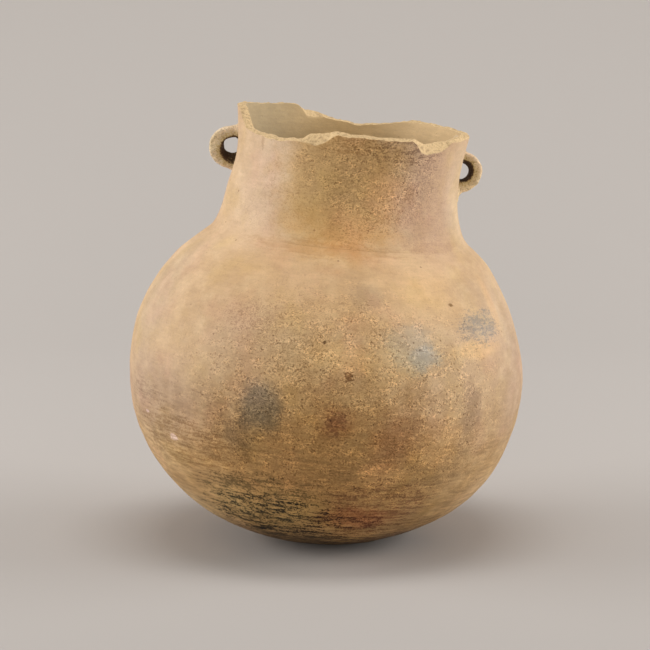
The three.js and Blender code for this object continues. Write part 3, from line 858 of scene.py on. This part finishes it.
def ear_outline(radius, out, span):
    """The ear in side view, x outwards from the collar and y up: a round head on two feet that run out
    along the neck."""
    foot_reach = span / 2 + LUG_SINK * 0.6
    angles = np.linspace(-EAR_TURN, EAR_TURN, 25)
    head = [(out + radius * math.cos(angle), radius * math.sin(angle)) for angle in angles]
    shoulder = head[-1][1] + head[-1][0] / math.tan(EAR_TURN)
    ease = []
    for t in np.linspace(0, 1, 9)[1:]:
        x = (1 - t) ** 2 * head[-1][0] + 2 * t * (1 - t) * FOOT_EASE - t ** 2 * LUG_SINK
        y = (1 - t) ** 2 * head[-1][1] + 2 * t * (1 - t) * shoulder + t ** 2 * foot_reach
        ease.append((x, y))
    return [(x, -y) for x, y in reversed(ease)] + head + ease


def apply_modifier(piece, kind, **settings):
    """Adds a modifier to the piece, which is the active object, and applies it."""
    modifier = piece.modifiers.new(kind.lower(), kind)
    for name, value in settings.items():
        setattr(modifier, name, value)
    bpy.ops.object.modifier_apply(modifier=modifier.name)


def clay_ear(name, radius, out, span):
    """An ear cut from a slab of clay, lying on the XY plane, rounded and with its feet smeared out."""
    outline = ear_outline(radius, out, span)
    bpy.ops.object.select_all(action="DESELECT")
    bpy.ops.mesh.primitive_circle_add(vertices=len(outline), radius=radius, fill_type="NGON")
    ear = bpy.context.object
    ear.name = name
    ear.data.name = name
    flat = np.array([(x, y, -LUG_WIDTH / 2) for x, y in outline])
    ear.data.vertices.foreach_set("co", flat.ravel())
    bpy.ops.object.mode_set(mode="EDIT")
    bpy.ops.mesh.select_all(action="SELECT")
    bpy.ops.mesh.extrude_region_move(TRANSFORM_OT_translate={"value": (0, 0, LUG_WIDTH)})
    bpy.ops.mesh.select_all(action="SELECT")
    bpy.ops.mesh.normals_make_consistent(inside=False)
    bpy.ops.object.mode_set(mode="OBJECT")
    apply_modifier(ear, "BEVEL", width=LUG_ROUNDING, segments=4, angle_limit=math.radians(50))
    for side in (-1, 1):
        bpy.ops.mesh.primitive_uv_sphere_add(segments=32, ring_count=16, radius=1)
        smear = bpy.context.object
        smear.scale = (SMEAR_THICKNESS, span * SMEAR_LENGTH, LUG_WIDTH * SMEAR_WIDTH)
        smear.location = (-SMEAR_SINK, side * span * SMEAR_MIDDLE, 0)
        smear.select_set(True)
        ear.select_set(True)
        bpy.context.view_layer.objects.active = ear
        bpy.ops.object.join()
    apply_modifier(ear, "REMESH", mode="VOXEL", voxel_size=SLAB_VOXEL)
    apply_modifier(ear, "SMOOTH", factor=0.5, iterations=12)
    return ear


def pierce(ear, near, far, out, tilt, turn):
    """Pushes a tapered stick through the ear, and softens the clay round it."""
    bpy.ops.object.select_all(action="DESELECT")
    taper = (far - near) / 2
    bpy.ops.mesh.primitive_cone_add(
        vertices=48,
        radius1=near / 2 - taper / 2,
        radius2=far / 2 + taper / 2,
        depth=LUG_WIDTH * 2,
        location=(out, 0, 0),
        rotation=(-math.radians(tilt), -math.radians(turn), 0),
    )
    stick = bpy.context.object
    bpy.context.view_layer.objects.active = ear
    apply_modifier(ear, "BOOLEAN", operation="DIFFERENCE", solver="EXACT", object=stick)
    bpy.data.objects.remove(stick)
    apply_modifier(ear, "REMESH", mode="VOXEL", voxel_size=PIERCED_VOXEL)
    apply_modifier(ear, "SMOOTH", factor=0.5, iterations=5)


def stain_and_shade_hole(ear, near, far, out, tilt, turn):
    """Marks how dark the ear is made round its hole, partly soot and partly painted shade: 1 in the hole
    and at its edge, then fading over the face.
    """
    points = vertex_places(ear.data)
    depth = points[:, 2]
    bore = (near + far) / 4 + (far - near) / 4 * (depth / (LUG_WIDTH / 2))
    hole_x = out - depth * math.tan(math.radians(turn))
    hole_y = depth * math.tan(math.radians(tilt))
    beyond = np.hypot(points[:, 0] - hole_x, points[:, 1] - hole_y) - bore
    # Soot and painted shade in the hole, then a weaker staining with painted shade over the face.
    soot = np.clip(1 - beyond / SOOT_AND_SHADE_EDGE, 0, 1)
    stain_and_shade = STAIN_AND_SHADE_STRENGTH * np.clip(1.15 - beyond / STAIN_AND_SHADE_REACH, 0, 1)
    mark_vertices(ear.data, "hollow", np.maximum(soot, stain_and_shade))


def lute_on_collar(ear, azimuth, above):
    """Turns the ear up on the collar, at a height above the throat, lumpy as the fingers leave it."""
    outward = Vector((math.cos(math.radians(azimuth)), math.sin(math.radians(azimuth)), 0))
    upward = Vector((0, 0, 1))
    seat = Matrix((outward, upward, outward.cross(upward))).transposed().to_4x4()
    seat.translation = Vector(spot_on_jar(azimuth, (THROAT_HEIGHT + above) / MM))
    ear.data.transform(seat)
    points = vertex_places(ear.data)
    normals = np.array([vertex.normal for vertex in ear.data.vertices])
    lumps = np.empty(len(points))
    for i, point in enumerate(points.tolist()):
        spot = Vector(point)
        lumps[i] = noise.noise(spot * 150) + 0.4 * noise.noise(spot * 420)
    points = points + normals * (lumps * FINGER_LUMP)[:, None]
    ear.data.vertices.foreach_set("co", standing(points).ravel())
    ear.data.update()


def pierced_ear(name, azimuth, above, radius, out, span, hole):
    """A lug from the slab to its place. The hole's sizes are those that pierce and stain_and_shade_hole take."""
    ear = clay_ear(name, radius, out, span)
    pierce(ear, **hole)
    stain_and_shade_hole(ear, **hole)
    lute_on_collar(ear, azimuth, above)
    bpy.ops.object.select_all(action="DESELECT")
    ear.select_set(True)
    bpy.context.view_layer.objects.active = ear
    bpy.ops.object.shade_smooth()
    ear.data.materials.append(lug_clay)
    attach(ear, "root")
    return ear


LUG_MARKS = [
    ((176, 126, 50, 50, 0.5, 0.8, "blotch", 1.0), (1.2, 1.38, 1.58)),
    ((9, 124, 50, 50, 0.5, 0.8, "blotch", 1.0), (1.26, 1.42, 1.5)),
]

lug_clay = fired_clay("lug_clay", LUG_MARKS, rubbing=0.8)
left_ear = pierced_ear(
    "left_ear", azimuth=176, above=2.4 * MM, radius=12.3 * MM, out=4.4 * MM, span=29 * MM,
    hole={"near": 15.8 * MM, "far": 9.6 * MM, "out": 3 * MM, "tilt": 8, "turn": -12},
)
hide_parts("left_lug")
right_ear = pierced_ear(
    "right_ear", azimuth=9, above=-0.4 * MM, radius=12 * MM, out=2 * MM, span=39 * MM,
    hole={"near": 10 * MM, "far": 13 * MM, "out": 2.2 * MM, "tilt": 5, "turn": 6},
)
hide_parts("right_lug")


# The studio: a sweep of pale grey paper that the jar stands on, curved up behind it so that no horizon
# shows. It is staging.
SWEEP_WIDTH = 6.0
SWEEP_FRONT = -4.0
SWEEP_BACK = 0.7
SWEEP_BEND = 2.2
SWEEP_TOP = 4.0
# Painted light: the paper is darker near the jar and lighter towards the back, evening out the light that
# falls off away from the boxes.
NEAR_PAPER_PAINTED_DARKER = tint(0.42, 0.388, 0.362)
FAR_PAPER_PAINTED_LIGHTER = tint(0.64, 0.592, 0.553)
PAPER_PAINTED_LIGHT_FADE = (-0.6, 2.6)

bend = [
    (SWEEP_BACK + SWEEP_BEND * math.sin(angle), SWEEP_BEND * (1 - math.cos(angle)))
    for angle in np.linspace(0, math.pi / 2, 25)
]
profile = [(SWEEP_FRONT, 0.0)] + bend + [(SWEEP_BACK + SWEEP_BEND, SWEEP_TOP)]
bpy.ops.object.select_all(action="DESELECT")
bpy.ops.mesh.primitive_plane_add(size=2)
sweep = bpy.context.object
sweep.name = "paper_sweep"
bpy.ops.object.mode_set(mode="EDIT")
bpy.ops.mesh.subdivide(number_cuts=len(profile) - 2)
bpy.ops.object.mode_set(mode="OBJECT")
levels = sorted({round(vertex.co.y, 5) for vertex in sweep.data.vertices})
for vertex in sweep.data.vertices:
    y, z = profile[levels.index(round(vertex.co.y, 5))]
    vertex.co = (vertex.co.x * SWEEP_WIDTH / 2, y, z)
bpy.ops.object.shade_smooth()

paper = bpy.data.materials.new("pale_paper")
paper.use_nodes = True
paper_tree = paper.node_tree
paper_place = paper_tree.nodes.new("ShaderNodeTexCoord").outputs["Object"]
away = new_node(paper_tree, "SeparateXYZ", {0: paper_place}).outputs[1]
# The paper's painted light: a fade from the near colour to the far one along the depth.
paper_painted_light = blend(paper_tree, fade(paper_tree, away, *PAPER_PAINTED_LIGHT_FADE), NEAR_PAPER_PAINTED_DARKER, FAR_PAPER_PAINTED_LIGHTER)
paper_shader = paper_tree.nodes["Principled BSDF"]
paper_tree.links.new(paper_painted_light, paper_shader.inputs["Base Color"])
paper_shader.inputs["Roughness"].default_value = 0.95
paper_shader.inputs["Specular IOR Level"].default_value = 0.1
sweep.data.materials.append(paper)


# Soft light from large boxes at both sides, above and, weakly, in front, as for a museum picture, with
# an even, slightly warm light all round.
LIT_SPOT = Vector((0, 0, 0.12))
ROOM_LIGHT = tint(1.0, 0.985, 0.96)
ROOM_STRENGTH = 0.41

# Name, place, size in metres and power in watts
SOFT_BOXES = [
    ("left_box", (-1.75, 0.05, 0.6), (1.4, 1.0), 28.3),
    ("right_box", (1.75, 0.05, 0.6), (1.4, 1.0), 27.8),
    ("top_box", (0, -0.1, 1.9), (1.2, 0.6), 13.5),
    ("front_box", (0, -2.6, 0.45), (1.8, 0.5), 9),
]

for name, location, size, power in SOFT_BOXES:
    bpy.ops.object.light_add(type="AREA", location=location)
    box = bpy.context.object
    box.name = name
    box.data.shape = "RECTANGLE"
    box.data.size, box.data.size_y = size
    box.data.energy = power
    box.rotation_euler = (LIT_SPOT - Vector(location)).to_track_quat("-Z", "Y").to_euler()
world = bpy.data.worlds.new("studio")
bpy.context.scene.world = world
world.use_nodes = True
background = world.node_tree.nodes["Background"]
background.inputs["Color"].default_value = ROOM_LIGHT
background.inputs["Strength"].default_value = ROOM_STRENGTH
bpy.context.scene.view_settings.view_transform = "Standard"


# The camera, where the picture was taken from: a long lens in front of the jar and a little above it,
# aimed a little above the widest part of the belly.
CAMERA_AIM = Vector((foot[0] - 0.8 * MM, 0, foot[2] + 25 * MM))
CAMERA_DISTANCE = 1.5
CAMERA_RISE = math.radians(9)
SENSOR_WIDTH = 36
LENS = 136.2

bpy.ops.object.camera_add()
camera = bpy.context.object
camera.data.sensor_width = SENSOR_WIDTH
camera.data.lens = LENS
back = Vector((0, -math.cos(CAMERA_RISE), math.sin(CAMERA_RISE)))
camera.location = CAMERA_AIM + back * CAMERA_DISTANCE
camera.rotation_euler = (-back).to_track_quat("-Z", "Y").to_euler()
bpy.context.scene.camera = camera
